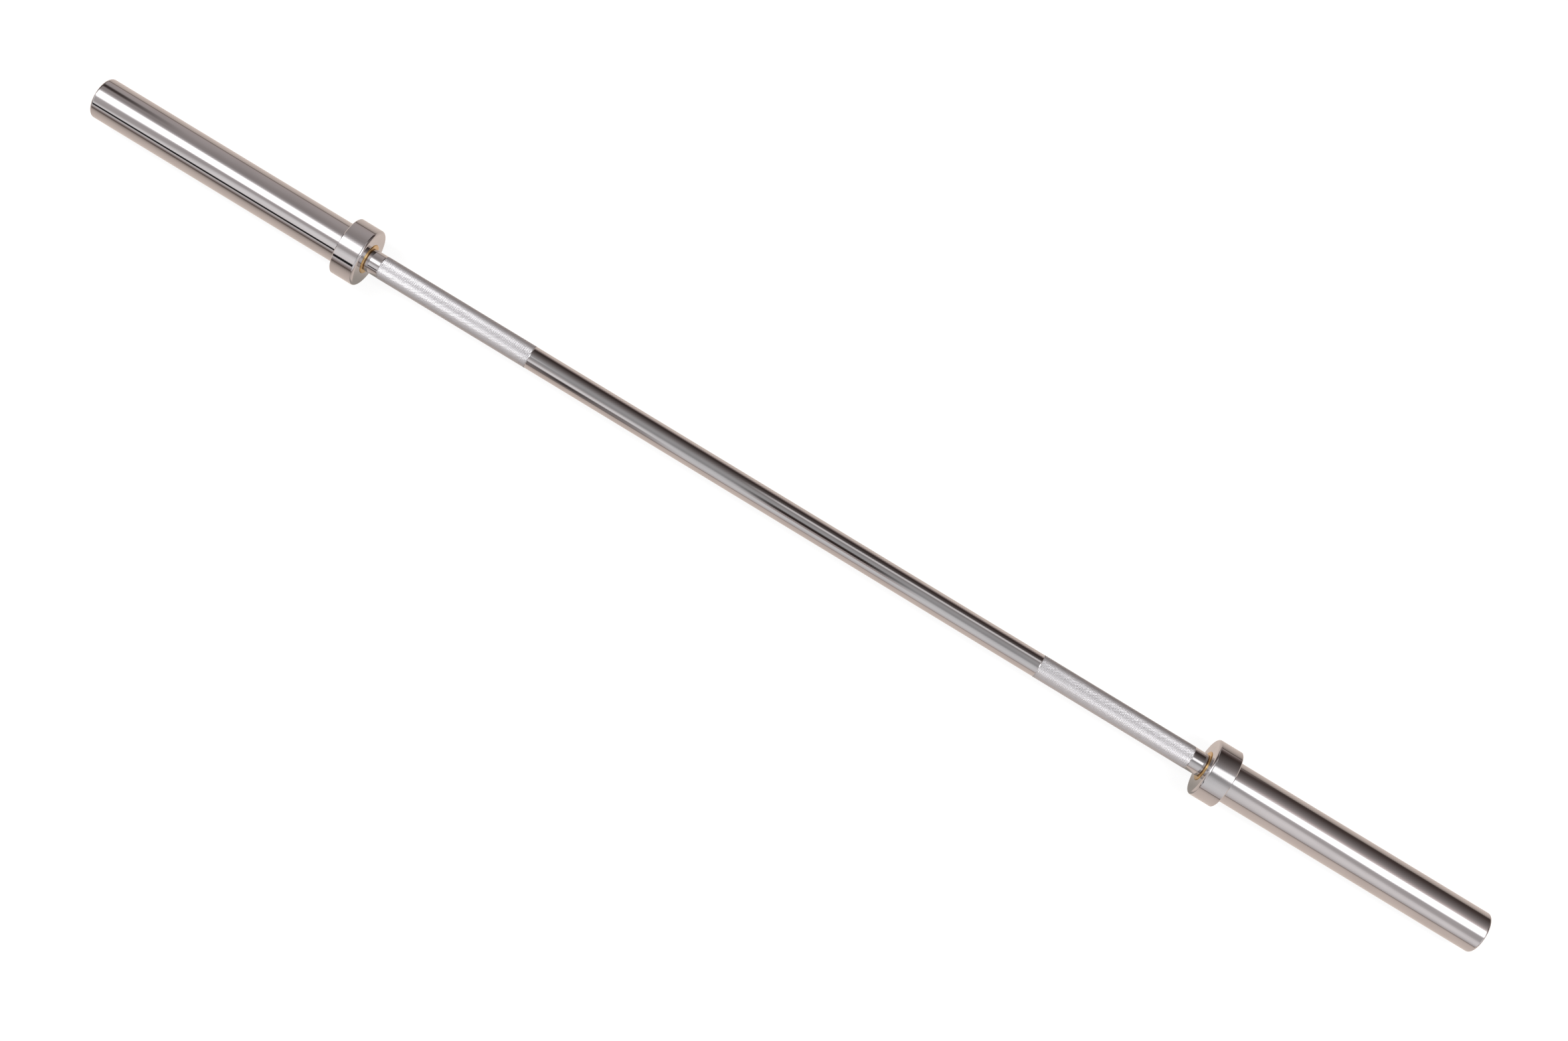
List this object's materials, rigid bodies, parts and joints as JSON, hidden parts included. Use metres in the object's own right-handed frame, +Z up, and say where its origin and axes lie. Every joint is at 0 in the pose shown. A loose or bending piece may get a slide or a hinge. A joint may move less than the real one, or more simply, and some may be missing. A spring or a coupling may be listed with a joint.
{
  "type": "olympic barbell",
  "caption": "Straight chromed olympic barbell: smooth centre, knurled grips, stop collars and plain sleeves that turn on bronze bushes, held by snap rings.",
  "frame": {"origin": "on the axis of the bar, at mid-length", "axes": "+X along the bar towards the right sleeve, +Z up as the bar lies on its collars, +Y away from the camera's side"},
  "size_m": [1.83, 0.071, 0.071],
  "materials": {
    "chrome": "polished hard chrome on steel; the grips are knurled",
    "bronze": "turned bearing bronze, slightly worn",
    "washer_steel": "plain ground steel",
    "spring_steel": "oiled, blackened spring steel",
    "cap_steel": "turned steel with a satin zinc plate"
  },
  "bodies": {
    "shaft": {"shaft": "chrome", "left_thrust_washer": "bronze", "left_backing_washer": "washer_steel", "left_shaft_snap_ring": "spring_steel", "right_thrust_washer": "bronze", "right_backing_washer": "washer_steel", "right_shaft_snap_ring": "spring_steel"},
    "left_sleeve_assembly": {"left_collar": "chrome", "left_sleeve": "chrome", "left_inner_bush": "bronze", "left_outer_bush": "bronze", "left_sleeve_washer": "washer_steel", "left_end_cap": "cap_steel", "left_cap_snap_ring": "spring_steel"},
    "right_sleeve_assembly": {"right_collar": "chrome", "right_sleeve": "chrome", "right_inner_bush": "bronze", "right_outer_bush": "bronze", "right_sleeve_washer": "washer_steel", "right_end_cap": "cap_steel", "right_cap_snap_ring": "spring_steel"}
  },
  "joints": [
    {"name": "left_sleeve_spin", "type": "hinge", "parent": "shaft", "child": "left_sleeve_assembly", "pos_m": [-0.735, 0, 0], "axis": [1, 0, 0], "continuous": true},
    {"name": "right_sleeve_spin", "type": "hinge", "parent": "shaft", "child": "right_sleeve_assembly", "pos_m": [0.735, 0, 0], "axis": [1, 0, 0], "continuous": true}
  ]
}
